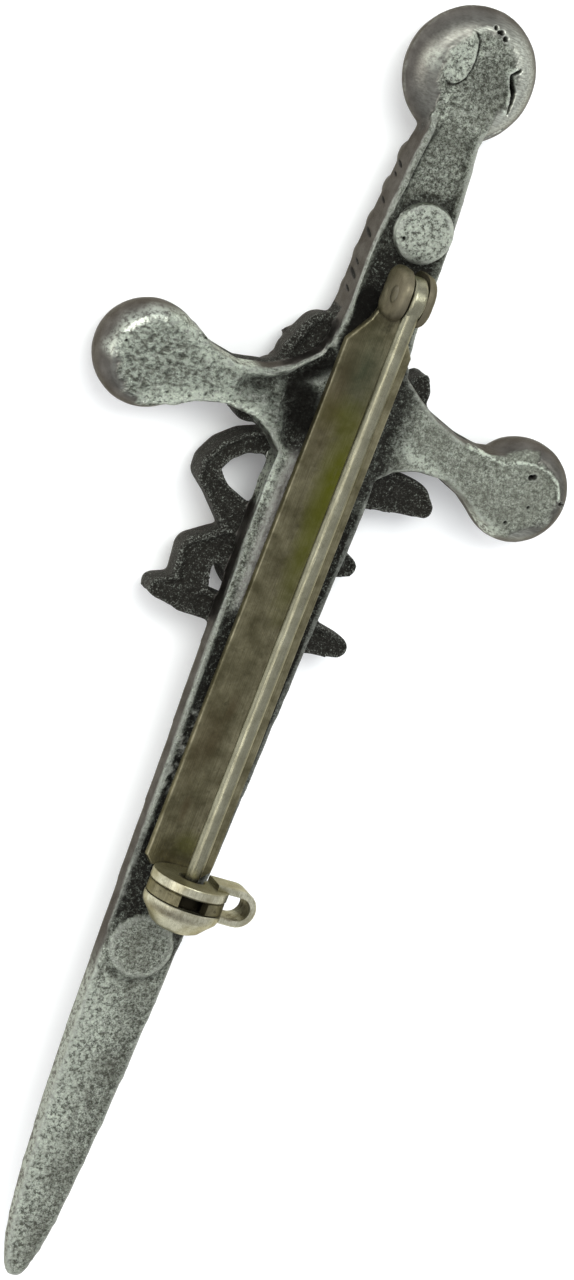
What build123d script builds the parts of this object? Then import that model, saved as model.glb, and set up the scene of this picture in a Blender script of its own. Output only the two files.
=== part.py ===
"""A sword-shaped kilt pin, lying face down: a pewter casting with a rampant lion, and a safety bar pin on its back.

Millimetres. X runs across the sword, Y along it towards the pommel, Z up from the surface that it lies on.
"""

import os
from collections import namedtuple
from math import atan2, cos, sin

from build123d import *

# Heights above the surface, from the hidden front at 0 up to the flat back
back_z = 6.0
# Each part of the casting runs past the flat back by its own height, and is then cut level
blade_over = 1.0
grip_over = 1.2
arm_left_over = 1.4
arm_right_over = 1.6
bun_over = 1.8
# What is joined to the casting starts this far inside it
root_depth = 1.0
lion_back_z = 4.3
lion_limb_front_z = 1.3
lion_body_front_z = 0.6
lion_crown_front_z = 0.0

# Pommel and the two balls of the cross-guard: round buns, flat at the back. The shoulder's arc passes
# this far outside the middle of its straight chord, across and up.
bun_shoulder_out = 0.12
bun_shoulder_up = 0.35
Bun = namedtuple("Bun", "x y radius flat_radius widest_z")
pommel = Bun(x=0.0, y=45.85, radius=5.15, flat_radius=3.4, widest_z=4.3)
ball_left = Bun(x=-15.8, y=19.1, radius=3.95, flat_radius=3.05, widest_z=4.6)
ball_right = Bun(x=15.85, y=17.6, radius=3.9, flat_radius=2.85, widest_z=4.6)

# Grip, a row for each section from the neck to the guard. belly is how far the wound side stands out
# past the back's edge, and depth how far the front lies below the back.
Grip = namedtuple("Grip", "y half_width belly depth")
neck_y = 43.2
grip_sections = [
    Grip(y=neck_y, half_width=2.2, belly=0.1, depth=3.0),
    Grip(y=41.2, half_width=2.1, belly=0.1, depth=2.9),
    Grip(y=38.9, half_width=2.4, belly=0.55, depth=3.7),
    Grip(y=37.6, half_width=2.5, belly=0.05, depth=3.2),
    Grip(y=36.3, half_width=2.6, belly=0.6, depth=4.0),
    Grip(y=35.0, half_width=2.7, belly=0.1, depth=3.5),
    Grip(y=33.7, half_width=2.8, belly=0.65, depth=4.3),
    Grip(y=32.4, half_width=2.85, belly=0.1, depth=3.7),
    Grip(y=31.1, half_width=2.9, belly=0.65, depth=4.5),
    Grip(y=29.8, half_width=2.9, belly=0.1, depth=3.9),
    Grip(y=28.5, half_width=2.85, belly=0.7, depth=4.6),
    Grip(y=27.2, half_width=2.8, belly=0.2, depth=4.2),
    Grip(y=23.0, half_width=3.3, belly=0.2, depth=4.4),
]
grip_wind_angle = 14.0
grip_side_share = 0.55

# Blade, a row for each section from the guard to the tip
Blade = namedtuple("Blade", "y half_width")
blade_edge_depth = 1.2
blade_ridge_depth = 3.0
blade_draft = 0.12
# Below this half width the blade also gets thinner towards the tip
blade_full_half_width = 2.2
blade_sections = [
    Blade(y=24.0, half_width=3.4),
    Blade(y=13.0, half_width=4.15),
    Blade(y=1.0, half_width=3.75),
    Blade(y=-14.0, half_width=3.25),
    Blade(y=-29.0, half_width=2.75),
    Blade(y=-37.0, half_width=2.4),
    Blade(y=-43.0, half_width=1.98),
    Blade(y=-46.3, half_width=1.6),
    Blade(y=-48.6, half_width=1.15),
    Blade(y=-50.2, half_width=0.62),
    Blade(y=-51.0, half_width=0.12),
]

# Cross-guard arms, a row for each section from the hilt out to the ball
Arm = namedtuple("Arm", "x low_y high_y")
arm_depth = 4.2
arm_belly = 0.25
arm_side_share = 0.5
arm_left = [
    Arm(x=-1.5, low_y=13.8, high_y=25.4),
    Arm(x=-3.6, low_y=15.0, high_y=23.2),
    Arm(x=-5.2, low_y=16.4, high_y=21.8),
    Arm(x=-6.8, low_y=17.3, high_y=21.0),
    Arm(x=-9.3, low_y=17.6, high_y=20.6),
    Arm(x=-11.6, low_y=17.1, high_y=21.1),
    Arm(x=-13.2, low_y=16.2, high_y=22.1),
    Arm(x=-14.6, low_y=16.2, high_y=22.0),
]
arm_right = [
    Arm(x=1.5, low_y=13.6, high_y=25.0),
    Arm(x=3.4, low_y=14.8, high_y=23.4),
    Arm(x=5.2, low_y=16.4, high_y=22.1),
    Arm(x=7.0, low_y=17.0, high_y=21.0),
    Arm(x=9.4, low_y=17.0, high_y=20.1),
    Arm(x=11.6, low_y=16.1, high_y=19.7),
    Arm(x=13.2, low_y=14.9, high_y=20.0),
    Arm(x=14.6, low_y=14.7, high_y=20.2),
]

# Lion, a row for each limb: the round at its first end and the round at its last end, seen from the back
Limb = namedtuple("Limb", "x0 y0 r0 x1 y1 r1")
lion_limbs = [
    # tail: tuft over the guard, then the loop down to the rump
    Limb(x0=-3.4, y0=24.3, r0=1.6, x1=-4.3, y1=22.2, r1=1.7),
    Limb(x0=-5.6, y0=20.0, r0=1.6, x1=-6.7, y1=17.6, r1=1.2),
    Limb(x0=-4.0, y0=15.5, r0=0.9, x1=-5.9, y1=14.9, r1=0.75),
    Limb(x0=-5.9, y0=14.9, r0=0.75, x1=-7.15, y1=13.9, r1=0.75),
    Limb(x0=-7.15, y0=13.9, r0=0.75, x1=-7.85, y1=12.6, r1=0.75),
    Limb(x0=-7.85, y0=12.6, r0=0.75, x1=-7.75, y1=11.8, r1=0.85),
    Limb(x0=-7.75, y0=11.8, r0=0.85, x1=-6.4, y1=10.7, r1=0.85),
    Limb(x0=-6.4, y0=10.7, r0=0.85, x1=-4.4, y1=9.3, r1=1.4),
    # hind leg, hock, foot and toe on the left
    Limb(x0=-4.4, y0=7.3, r0=1.3, x1=-6.55, y1=6.0, r1=1.25),
    Limb(x0=-6.55, y0=6.0, r0=1.25, x1=-6.1, y1=3.4, r1=1.5),
    Limb(x0=-6.1, y0=2.9, r0=1.4, x1=-8.3, y1=2.6, r1=0.7),
    Limb(x0=-6.1, y0=2.55, r0=1.15, x1=-2.6, y1=2.35, r1=1.0),
    # lower forepaw, upper forepaw, knee and hind foot on the right
    Limb(x0=3.6, y0=14.6, r0=1.9, x1=8.2, y1=14.6, r1=1.3),
    Limb(x0=8.2, y0=14.6, r0=1.3, x1=9.4, y1=14.1, r1=0.7),
    Limb(x0=3.2, y0=20.5, r0=1.6, x1=5.4, y1=22.3, r1=1.1),
    Limb(x0=5.4, y0=22.3, r0=1.1, x1=5.7, y1=23.4, r1=0.35),
    Limb(x0=3.0, y0=8.4, r0=1.6, x1=5.25, y1=8.2, r1=0.75),
    Limb(x0=1.8, y0=4.6, r0=1.5, x1=4.2, y1=2.3, r1=1.3),
    Limb(x0=4.2, y0=2.3, r0=1.3, x1=6.9, y1=2.15, r1=0.8),
]
lion_body = [
    # haunch, trunk, chest, neck and head
    Limb(x0=-1.4, y0=6.6, r0=3.1, x1=0.2, y1=11.6, r1=2.9),
    Limb(x0=0.2, y0=11.6, r0=2.9, x1=1.2, y1=16.4, r1=3.2),
    Limb(x0=1.2, y0=16.4, r0=3.2, x1=0.6, y1=20.6, r1=3.1),
    Limb(x0=0.6, y0=20.6, r0=3.1, x1=1.6, y1=23.4, r1=2.2),
]
lion_crown = [
    Limb(x0=-1.5, y0=6.2, r0=2.2, x1=-1.0, y1=8.0, r1=1.9),
    Limb(x0=1.1, y0=16.2, r0=2.0, x1=0.7, y1=19.6, r1=2.1),
]

# Cast bosses on the back, one past each end of the bar
Boss = namedtuple("Boss", "x y radius height")
bosses = [
    Boss(x=0.2, y=34.0, radius=2.3, height=1.0),
    Boss(x=-0.15, y=-23.5, radius=2.55, height=0.55),
]

# Bar of the pin: a flat strip on a cast bed, with two ears for the hinge and a ring for the catch
bed_half_width = 1.9
bed_low_y = -15.2
bed_high_y = 26.4
sheet = 0.55
bar_top_z = 7.1
bar_half_width = 2.7
bar_low_y = -16.4
bar_shoulder_y = 25.3
bar_corner = 0.6
ear_inner_x = 0.65
ear_outer_x = 1.42
ear_half_length = 2.0
ear_top_z = 10.6
ear_corner = 1.3
tongue_half_width = 1.6

# Hinge and stem: the stem's eye turns on a rivet between the ears
rivet_y = 29.5
rivet_z = 9.25
rivet_radius = 0.38
rivet_hole_radius = 0.42
rivet_head_radius = 0.66
rivet_head_height = 0.28
rivet_head_bevel = 0.17
eye_radius = 1.55
eye_hole_radius = 0.43
eye_half_width = 0.6
wire_radius = 0.6
neck_half_width = 0.55
neck_corner = 0.2
stem_z = rivet_z + eye_radius - wire_radius
stem_start_y = 25.3
stem_point_y = -16.0
stem_tip_y = -19.3
stem_tip_radius = 0.12

# Catch: a drum with two collars and an end cap turns in the fixed ring, and a thumb loop turns it
catch_x = 0.0
catch_z = stem_z
ring_radius = 2.95
ring_bore_radius = 2.15
ring_high_y = -17.3
ring_low_y = -18.25
ring_gap_low_x = -1.2
ring_gap_high_x = 0.68
drum_radius = 2.1
collar_radius = 3.0
collar_high_y = -16.45
collar_clearance = 0.05
cap_collar = 0.8
cap_end_y = -20.6
cap_end_radius = 1.5
# The cap's arc passes this far before the end and outside the middle of its radii
cap_arc_back = 0.45
cap_arc_out = 0.25
bore_radius = 1.35
bore_end_y = -19.9
slot_width = 1.5
slot_angle = -50.0
# The cutters of the bore, the slot and the ring's gap run this far past what they cut
cut_past = 1.0
loop_outer = 1.5
loop_inner = 0.7
loop_y = -17.7
loop_start_x = 1.9
loop_reach_x = 5.6
loop_half_height = 1.2


def across(y):
    """The upright plane at a place along the sword, with its first axis across and its second up."""
    return Plane(origin=(0, y, 0), x_dir=(1, 0, 0), z_dir=(0, -1, 0))


def along(x):
    """The upright plane at a place across the sword, with its first axis along and its second up."""
    return Plane(origin=(x, 0, 0), x_dir=(0, 1, 0), z_dir=(1, 0, 0))


def rounded_front(plane, low, high, belly, depth, side_share, over):
    """A section from low to high at the back, with leaning side walls and a round front."""
    side_z = back_z - depth * side_share
    front_z = back_z - depth
    over_z = back_z + over
    with BuildSketch(plane) as section:
        with BuildLine():
            Polyline(
                (low - belly, side_z),
                (low, back_z),
                (low, over_z),
                (high, over_z),
                (high, back_z),
                (high + belly, side_z),
            )
            ThreePointArc((high + belly, side_z), ((low + high) / 2, front_z), (low - belly, side_z))
        make_face()
    return section.sketch


def bun_profile(bun):
    """Half of a bun with a flat back, a rounded shoulder and a domed front that reaches the surface."""
    shoulder_r = (bun.flat_radius + bun.radius) / 2 + bun_shoulder_out
    shoulder_z = (back_z + bun.widest_z) / 2 + bun_shoulder_up
    dome_radius = (bun.radius**2 + bun.widest_z**2) / (2 * bun.widest_z)
    half_angle = atan2(bun.radius, dome_radius - bun.widest_z) / 2
    dome = dome_radius * sin(half_angle), dome_radius * (1 - cos(half_angle))
    over_z = back_z + bun_over
    centre = Plane(origin=(bun.x, bun.y, 0), x_dir=(1, 0, 0), z_dir=(0, -1, 0))
    with BuildSketch(centre) as profile:
        with BuildLine():
            Polyline((0, 0), (0, over_z), (bun.flat_radius, over_z), (bun.flat_radius, back_z))
            ThreePointArc((bun.flat_radius, back_z), (shoulder_r, shoulder_z), (bun.radius, bun.widest_z))
            ThreePointArc((bun.radius, bun.widest_z), dome, (0, 0))
        make_face()
    return profile.sketch


def limb_outline(limb):
    """One limb of the lion from behind: the hull of its two rounds."""
    with BuildSketch() as outline:
        with Locations((limb.x0, limb.y0)):
            Circle(limb.r0)
        with Locations((limb.x1, limb.y1)):
            Circle(limb.r1)
        make_hull()
    return outline.sketch


with BuildPart() as sword_casting:
    # Blade: a flat back, low edges and a ridge down its front
    over_z = back_z + blade_over
    for row in blade_sections:
        edge = row.half_width + blade_draft
        share = min(1.0, row.half_width / blade_full_half_width)
        edge_z = back_z - blade_edge_depth * share
        ridge_z = back_z - blade_ridge_depth * share
        with BuildSketch(across(row.y)):
            with BuildLine():
                Polyline(
                    (-row.half_width, back_z),
                    (-row.half_width, over_z),
                    (row.half_width, over_z),
                    (row.half_width, back_z),
                    (edge, edge_z),
                    (0, ridge_z),
                    (-edge, edge_z),
                    close=True,
                )
            make_face()
    loft(ruled=True)
    # Grip, wound like a rope
    grip = []
    for row in grip_sections:
        wound = row.y not in (grip_sections[0].y, grip_sections[1].y, grip_sections[-1].y)
        turn = grip_wind_angle if wound else 0.0
        plane = across(row.y).rotated((0, turn, 0))
        wall = row.belly, row.depth, grip_side_share, grip_over
        grip.append(rounded_front(plane, -row.half_width, row.half_width, *wall))
    loft(sections=grip, ruled=True)
    # Cross-guard
    for rows, over in ((arm_left, arm_left_over), (arm_right, arm_right_over)):
        wall = arm_belly, arm_depth, arm_side_share, over
        arm = [rounded_front(along(row.x), row.low_y, row.high_y, *wall) for row in rows]
        loft(sections=arm, ruled=True)
    for bun in (pommel, ball_left, ball_right):
        revolve(bun_profile(bun), axis=Axis((bun.x, bun.y, 0), (0, 0, 1)))
    # One flat back, as the mould's open side leaves it
    split(bisect_by=Plane.XY.offset(back_z), keep=Keep.BOTTOM)
    # Lion rampant on the front, from its back down to the front of its limbs, body and crown
    for limbs, front_z in (
        (lion_limbs, lion_limb_front_z),
        (lion_body, lion_body_front_z),
        (lion_crown, lion_crown_front_z),
    ):
        with BuildSketch(Plane.XY.offset(front_z)):
            for limb in limbs:
                add(limb_outline(limb))
        extrude(amount=lion_back_z - front_z)
    # Bosses, and the bed under the bar
    for boss in bosses:
        with BuildSketch(Plane.XY.offset(back_z - root_depth)):
            with Locations((boss.x, boss.y)):
                Circle(boss.radius)
        extrude(amount=root_depth + boss.height)
    bed_y = (bed_low_y + bed_high_y) / 2
    with BuildSketch(Plane.XY.offset(back_z - root_depth)):
        with Locations((0, bed_y)):
            Rectangle(2 * bed_half_width, bed_high_y - bed_low_y)
    extrude(amount=root_depth + bar_top_z - sheet - back_z)
sword_casting.part.label = "sword_casting"


with BuildPart() as pin_bar:
    # Strip with shoulders that narrow to the ears, and a tongue under the catch
    bar_bottom_z = bar_top_z - sheet
    ear_low_y = rivet_y - ear_half_length
    ear_high_y = rivet_y + ear_half_length
    with BuildSketch(Plane.XY.offset(bar_bottom_z)):
        with BuildLine():
            Polyline(
                (-bar_half_width, bar_low_y),
                (-bar_half_width, bar_shoulder_y),
                (-ear_outer_x, ear_low_y),
                (-ear_outer_x, ear_high_y),
                (ear_outer_x, ear_high_y),
                (ear_outer_x, ear_low_y),
                (bar_half_width, bar_shoulder_y),
                (bar_half_width, bar_low_y),
                (bar_half_width - bar_corner, bar_low_y - bar_corner),
                (tongue_half_width, bar_low_y - bar_corner),
                (tongue_half_width, ring_low_y),
                (-tongue_half_width, ring_low_y),
                (-tongue_half_width, bar_low_y - bar_corner),
                (-bar_half_width + bar_corner, bar_low_y - bar_corner),
                close=True,
            )
        make_face()
    extrude(amount=sheet)
    # Two ears with the rivet's hole
    for side in (-1, 1):
        inner = side * ear_inner_x
        with BuildSketch(along(inner)) as ear:
            with Locations((rivet_y, (bar_bottom_z + ear_top_z) / 2)):
                Rectangle(2 * ear_half_length, ear_top_z - bar_bottom_z)
            fillet(ear.vertices().group_by(Axis.Z)[-1], ear_corner)
            with Locations((rivet_y, rivet_z)):
                Circle(rivet_hole_radius, mode=Mode.SUBTRACT)
        extrude(amount=side * (ear_outer_x - ear_inner_x))
    # Open ring of the catch, with its foot on the tongue
    with BuildSketch(across(ring_high_y)):
        with Locations((catch_x, catch_z)):
            Circle(ring_radius)
        with Locations((0, (bar_bottom_z + catch_z) / 2)):
            Rectangle(2 * tongue_half_width, catch_z - bar_bottom_z)
        with Locations((catch_x, catch_z)):
            Circle(ring_bore_radius, mode=Mode.SUBTRACT)
        with Locations(((ring_gap_low_x + ring_gap_high_x) / 2, catch_z + ring_radius)):
            Rectangle(ring_gap_high_x - ring_gap_low_x, 2 * (ring_radius - cut_past), mode=Mode.SUBTRACT)
    extrude(amount=ring_high_y - ring_low_y)
pin_bar.part.label = "pin_bar"


with BuildPart() as hinge_rivet:
    with BuildSketch(along(0)):
        with Locations((rivet_y, rivet_z)):
            Circle(rivet_radius)
    extrude(amount=ear_outer_x + rivet_head_height / 2, both=True)
    for side in (-1, 1):
        with BuildSketch(along(side * ear_outer_x)):
            with Locations((rivet_y, rivet_z)):
                Circle(rivet_head_radius)
        extrude(amount=side * rivet_head_height)
    domes = hinge_rivet.faces().filter_by(Axis.X).sort_by(Axis.X)
    chamfer(domes[0].edges() + domes[-1].edges(), rivet_head_bevel)
hinge_rivet.part.label = "hinge_rivet"


with BuildPart() as pin_stem:
    # Eye round the rivet
    with BuildSketch(along(-eye_half_width)):
        with Locations((rivet_y, rivet_z)):
            Circle(eye_radius)
    extrude(amount=2 * eye_half_width)
    # Flattened neck, round wire and ground point
    with BuildSketch(across(rivet_y)):
        with Locations((0, stem_z)):
            RectangleRounded(2 * neck_half_width, 2 * neck_half_width, neck_corner)
    extrude(amount=rivet_y - stem_start_y)
    with BuildSketch(across(stem_start_y)):
        with Locations((0, stem_z)):
            Circle(wire_radius)
    extrude(amount=stem_start_y - stem_point_y)
    with BuildSketch(across(stem_point_y)):
        with Locations((0, stem_z)):
            Circle(wire_radius)
    with BuildSketch(across(stem_tip_y)):
        with Locations((0, stem_z)):
            Circle(stem_tip_radius)
    loft()
    with BuildSketch(along(-eye_half_width)):
        with Locations((rivet_y, rivet_z)):
            Circle(eye_hole_radius)
    extrude(amount=2 * eye_half_width, mode=Mode.SUBTRACT)
pin_stem.part.label = "pin_stem"


with BuildPart() as safety_catch:
    # Drum, collars and tapered cap, revolved about the stem's line
    high_collar_low_y = ring_high_y + collar_clearance
    low_collar_high_y = ring_low_y - collar_clearance
    low_collar_low_y = low_collar_high_y - cap_collar
    with BuildSketch(Plane(origin=(catch_x, 0, catch_z), x_dir=(0, 1, 0), z_dir=(1, 0, 0))):
        with BuildLine():
            Polyline(
                (collar_high_y, bore_radius),
                (collar_high_y, collar_radius),
                (high_collar_low_y, collar_radius),
                (high_collar_low_y, drum_radius),
                (low_collar_high_y, drum_radius),
                (low_collar_high_y, collar_radius),
                (low_collar_low_y, collar_radius),
            )
            ThreePointArc(
                (low_collar_low_y, collar_radius),
                (cap_end_y + cap_arc_back, (collar_radius + cap_end_radius) / 2 + cap_arc_out),
                (cap_end_y, cap_end_radius),
            )
            Polyline(
                (cap_end_y, cap_end_radius),
                (cap_end_y, 0),
                (bore_end_y, 0),
                (bore_end_y, bore_radius),
                (collar_high_y, bore_radius),
            )
        make_face()
    revolve(axis=Axis((catch_x, 0, catch_z), (0, 1, 0)))
    # Slot that lets the stem out when the catch is turned
    slot_length = collar_radius + cut_past
    with BuildSketch(across(collar_high_y + cut_past)):
        with Locations((catch_x, catch_z)):
            with PolarLocations(slot_length / 2, 1, start_angle=slot_angle):
                Rectangle(slot_length, slot_width)
    extrude(amount=collar_high_y + cut_past - bore_end_y, mode=Mode.SUBTRACT)
    # Thumb loop, bent like a hairpin
    bend_x = loop_reach_x - loop_outer
    with BuildSketch(Plane.XY.offset(catch_z - loop_half_height)):
        for size, mode in ((loop_outer, Mode.ADD), (loop_inner, Mode.SUBTRACT)):
            with Locations(((loop_start_x + bend_x) / 2, loop_y)):
                Rectangle(bend_x - loop_start_x, 2 * size, mode=mode)
            with Locations((bend_x, loop_y)):
                Circle(size, mode=mode)
    extrude(amount=2 * loop_half_height)
    # Free the bore and the ring's room of the loop's roots
    with BuildSketch(across(collar_high_y + cut_past)):
        with Locations((catch_x, catch_z)):
            Circle(bore_radius)
    extrude(amount=collar_high_y + cut_past - bore_end_y, mode=Mode.SUBTRACT)
safety_catch.part.label = "safety_catch"


os.makedirs("parts", exist_ok=True)
for piece in (sword_casting, pin_bar, hinge_rivet, pin_stem, safety_catch):
    export_step(piece.part, f"parts/{piece.part.label}.step")
    print(piece.part.label, round(piece.part.volume, 2), "mm3", piece.part.center())
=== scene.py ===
"""Looks of the sword-shaped kilt pin, lying face down: an antiqued pewter casting with a lion rampant on its
hidden front, and the tarnished bar pin on its back.

Pieces are modelled in millimetres, in the frame of the CAD, and become metres when each is finished.
X runs across the sword, Y along it towards the pommel, Z up from the surface that it lies on.
"""

from collections import namedtuple
from functools import partial
from math import asin, atan2, cos, pi, radians, sin, tan

import bmesh
import bpy
import numpy as np
from mathutils import Matrix, Vector, noise


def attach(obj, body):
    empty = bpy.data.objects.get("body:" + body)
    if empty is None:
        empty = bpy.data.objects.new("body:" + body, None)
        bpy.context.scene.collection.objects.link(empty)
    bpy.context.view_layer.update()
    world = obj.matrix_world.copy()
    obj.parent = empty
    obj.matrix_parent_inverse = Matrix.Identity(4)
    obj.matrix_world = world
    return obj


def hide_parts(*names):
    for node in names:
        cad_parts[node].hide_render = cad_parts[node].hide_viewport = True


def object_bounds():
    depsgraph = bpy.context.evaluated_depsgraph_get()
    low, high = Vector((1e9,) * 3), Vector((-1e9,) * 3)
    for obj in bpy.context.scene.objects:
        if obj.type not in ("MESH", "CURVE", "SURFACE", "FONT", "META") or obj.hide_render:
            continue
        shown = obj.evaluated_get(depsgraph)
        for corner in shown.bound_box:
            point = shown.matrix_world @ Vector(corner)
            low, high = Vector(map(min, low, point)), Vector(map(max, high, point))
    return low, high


MM = 0.001
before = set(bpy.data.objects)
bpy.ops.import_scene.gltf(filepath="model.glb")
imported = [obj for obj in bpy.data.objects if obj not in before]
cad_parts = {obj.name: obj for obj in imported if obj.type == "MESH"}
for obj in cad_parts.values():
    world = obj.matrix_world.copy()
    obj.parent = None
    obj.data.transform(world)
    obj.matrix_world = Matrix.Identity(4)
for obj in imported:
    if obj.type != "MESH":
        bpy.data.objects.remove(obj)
cad_low, cad_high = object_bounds()
low_mm = np.array(cad_low) / MM
high_mm = np.array(cad_high) / MM

# Heights of the casting
back_z = 6.0
lion_back_z = 4.3

Bun = namedtuple("Bun", "x y radius flat_radius widest_z")
pommel = Bun(x=0.0, y=45.85, radius=5.15, flat_radius=3.4, widest_z=4.3)
ball_left = Bun(x=-15.8, y=19.1, radius=3.95, flat_radius=3.05, widest_z=4.6)
ball_right = Bun(x=15.85, y=17.6, radius=3.9, flat_radius=2.85, widest_z=4.6)
# Profile of the shoulders: 1 is a true round, and more is flatter
bun_power = 1.3

Grip = namedtuple("Grip", "y half_width depth")
grip_rows = [
    Grip(43.4, 2.3, 3.0),
    Grip(41.2, 2.1, 2.9),
    Grip(38.9, 2.4, 3.2),
    Grip(36.3, 2.6, 3.4),
    Grip(33.7, 2.8, 3.6),
    Grip(31.1, 2.9, 3.8),
    Grip(28.5, 2.85, 3.9),
    Grip(27.2, 2.8, 4.2),
    Grip(23.0, 3.3, 4.4),
]
coil_top_y = 38.9
coil_step = 2.6
coil_count = 5
coil_radius = 1.5
coil_start_z = 3.6
coil_proud = 0.12
coil_lean = tan(radians(14))
coil_drop = 1.1
coil_drop_step = 0.12
coil_spans = 12
grip_belly = 0.12
grip_side_share = 0.72

Blade = namedtuple("Blade", "y half_width")
blade_rows = [
    Blade(24.0, 3.4),
    Blade(13.0, 4.15),
    Blade(1.0, 3.75),
    Blade(-14.0, 3.25),
    Blade(-29.0, 2.75),
    Blade(-37.0, 2.4),
    Blade(-43.0, 1.98),
    Blade(-46.3, 1.68),
    Blade(-48.6, 1.3),
    Blade(-50.2, 0.85),
    Blade(-50.75, 0.55),
    Blade(-51.0, 0.2),
]
blade_edge_depth = 1.45
blade_ridge_depth = 3.1
blade_draft = 0.12
blade_full_half_width = 2.2
ridge_flat_share = 0.15
ridge_flat_rise = 0.1

Arm = namedtuple("Arm", "x low_y high_y")
arm_left = [
    Arm(-1.5, 13.8, 25.4),
    Arm(-3.6, 15.0, 23.2),
    Arm(-5.2, 16.4, 21.8),
    Arm(-6.8, 17.3, 21.0),
    Arm(-9.3, 17.6, 20.6),
    Arm(-11.6, 17.1, 21.1),
    Arm(-13.2, 16.2, 22.1),
    Arm(-14.6, 16.2, 22.0),
]
arm_right = [
    Arm(1.5, 13.6, 25.0),
    Arm(3.4, 14.8, 23.4),
    Arm(5.2, 16.4, 22.1),
    Arm(7.0, 17.0, 21.0),
    Arm(9.4, 17.0, 20.1),
    Arm(11.6, 16.1, 19.7),
    Arm(13.2, 14.9, 20.0),
    Arm(14.6, 14.7, 20.2),
]
arm_depth = 4.2
arm_belly = 0.25
arm_side_share = 0.5

# Lion, seen from the back. Each limb runs from one round to another, with its front at front_z.
Limb = namedtuple("Limb", "x0 y0 r0 x1 y1 r1 front_z")
limb_z = 1.3
body_z = 0.6
muscle_z = 0.3
limb_dome = 1.5
limb_taper = 0.94
lock_tip_rise = 0.6


def limbs(front_z, *rounds):
    """Limbs from each round, as x, y and radius, to the next."""
    return [Limb(*start, *end, front_z) for start, end in zip(rounds, rounds[1:])]


lion = [
    *limbs(limb_z, (-3.4, 24.3, 1.6), (-4.3, 22.2, 1.7)),
    *limbs(limb_z, (-5.6, 20.0, 1.6), (-6.7, 17.6, 1.2)),
    *limbs(limb_z, (-4.0, 15.5, 0.9), (-5.9, 14.9, 0.75), (-7.15, 13.9, 0.75), (-7.85, 12.6, 0.75),
           (-7.75, 11.8, 0.85), (-6.4, 10.7, 0.85), (-4.4, 9.3, 1.4)),
    *limbs(limb_z, (-4.4, 7.3, 1.3), (-6.55, 6.0, 1.25), (-6.1, 3.4, 1.5)),
    *limbs(limb_z, (-6.1, 2.9, 1.4), (-8.3, 2.6, 0.7)),
    *limbs(limb_z, (-6.1, 2.55, 1.15), (-2.6, 2.35, 1.0)),
    *limbs(limb_z, (3.6, 14.6, 1.9), (8.2, 14.6, 1.3), (9.4, 14.1, 0.7)),
    *limbs(limb_z, (3.2, 20.5, 1.6), (5.4, 22.3, 1.1), (5.7, 23.4, 0.35)),
    *limbs(limb_z, (3.0, 8.4, 1.6), (5.25, 8.2, 0.75)),
    *limbs(limb_z, (1.8, 4.6, 1.5), (4.2, 2.3, 1.3), (6.9, 2.15, 0.8)),
    *limbs(muscle_z, (-1.4, 6.6, 3.1), (-0.8, 8.8, 2.9)),
    *limbs(body_z, (-0.8, 8.8, 2.9), (0.2, 11.6, 2.9), (1.2, 16.4, 3.2)),
    *limbs(muscle_z, (1.2, 16.4, 3.2), (0.6, 20.6, 3.1)),
    *limbs(body_z, (0.6, 20.6, 3.1), (1.6, 23.4, 2.2)),
]
# Modelling on the lion's front: locks of the mane and tail, muscles, muzzle, brow, ear and claws
Lock = namedtuple("Lock", "x0 y0 r0 x1 y1 r1 z")
locks = (
    [Lock(0.2 - 0.25 * k, 23.6 - 1.35 * k, 0.75, -2.5 - 0.1 * k, 22.6 - 1.6 * k, 0.2, 0.95) for k in range(5)]
    + [Lock(1.6 - 0.1 * k, 21.4 - 1.5 * k, 0.7, 0.2 - 0.2 * k, 19.6 - 1.5 * k, 0.2, 0.6) for k in range(4)]
    + [Lock(3.2 - 0.1 * k, 19.0 - 1.3 * k, 0.6, 2.2, 17.4 - 1.3 * k, 0.2, 0.75) for k in range(3)]
    + [Lock(-3.2, 24.6, 0.6, -1.9, 25.8, 0.2, 1.5), Lock(-3.8, 23.6, 0.8, -5.3, 23.4, 0.25, 1.2)]
    + [Lock(-4.2, 22.0, 0.8, -5.6, 21.4, 0.25, 1.2), Lock(-6.2, 18.6, 0.7, -7.5, 16.9, 0.2, 1.2)]
    + [Lock(2.0, 23.2, 1.3, 3.4, 22.9, 0.75, 0.3), Lock(3.3, 23.0, 0.75, 3.9, 22.2, 0.45, 0.5)]
    + [Lock(0.9, 24.6, 0.6, 0.2, 25.4, 0.25, 0.5), Lock(2.0, 24.3, 0.45, 2.8, 24.0, 0.35, 0.15)]
    + [Lock(-0.6, 9.6, 1.0, 0.6, 12.4, 0.8, 0.4), Lock(-3.3, 7.4, 1.0, -5.4, 6.3, 0.8, 0.95)]
    + [Lock(2.6, 15.2, 1.0, 5.6, 14.8, 0.9, 0.9), Lock(-5.9, 5.6, 0.8, -5.8, 3.8, 0.9, 0.95)]
    + [Lock(8.6, 15.3 - 0.65 * k, 0.35, 9.7, 15.0 - 0.6 * k, 0.18, 1.5) for k in range(3)]
    + [Lock(5.0 + 0.45 * k, 22.9, 0.3, 5.2 + 0.45 * k, 23.5, 0.15, 1.5) for k in range(3)]
    + [Lock(6.2, 2.7 - 0.55 * k, 0.35, 7.4, 2.6 - 0.45 * k, 0.18, 1.5) for k in range(3)]
    + [Lock(-7.6, 3.1 - 0.5 * k, 0.35, -8.8, 2.9 - 0.4 * k, 0.18, 1.5) for k in range(3)]
    + [Lock(1.9, 12.8 - 1.2 * k, 0.3, -0.6, 11.9 - 1.2 * k, 0.2, 0.35) for k in range(3)]
)

Boss = namedtuple("Boss", "x y radius height")
boss_grip = Boss(x=0.2, y=34.0, radius=2.3, height=1.0)
boss_blade = Boss(x=-0.15, y=-23.5, radius=2.55, height=0.55)

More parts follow.
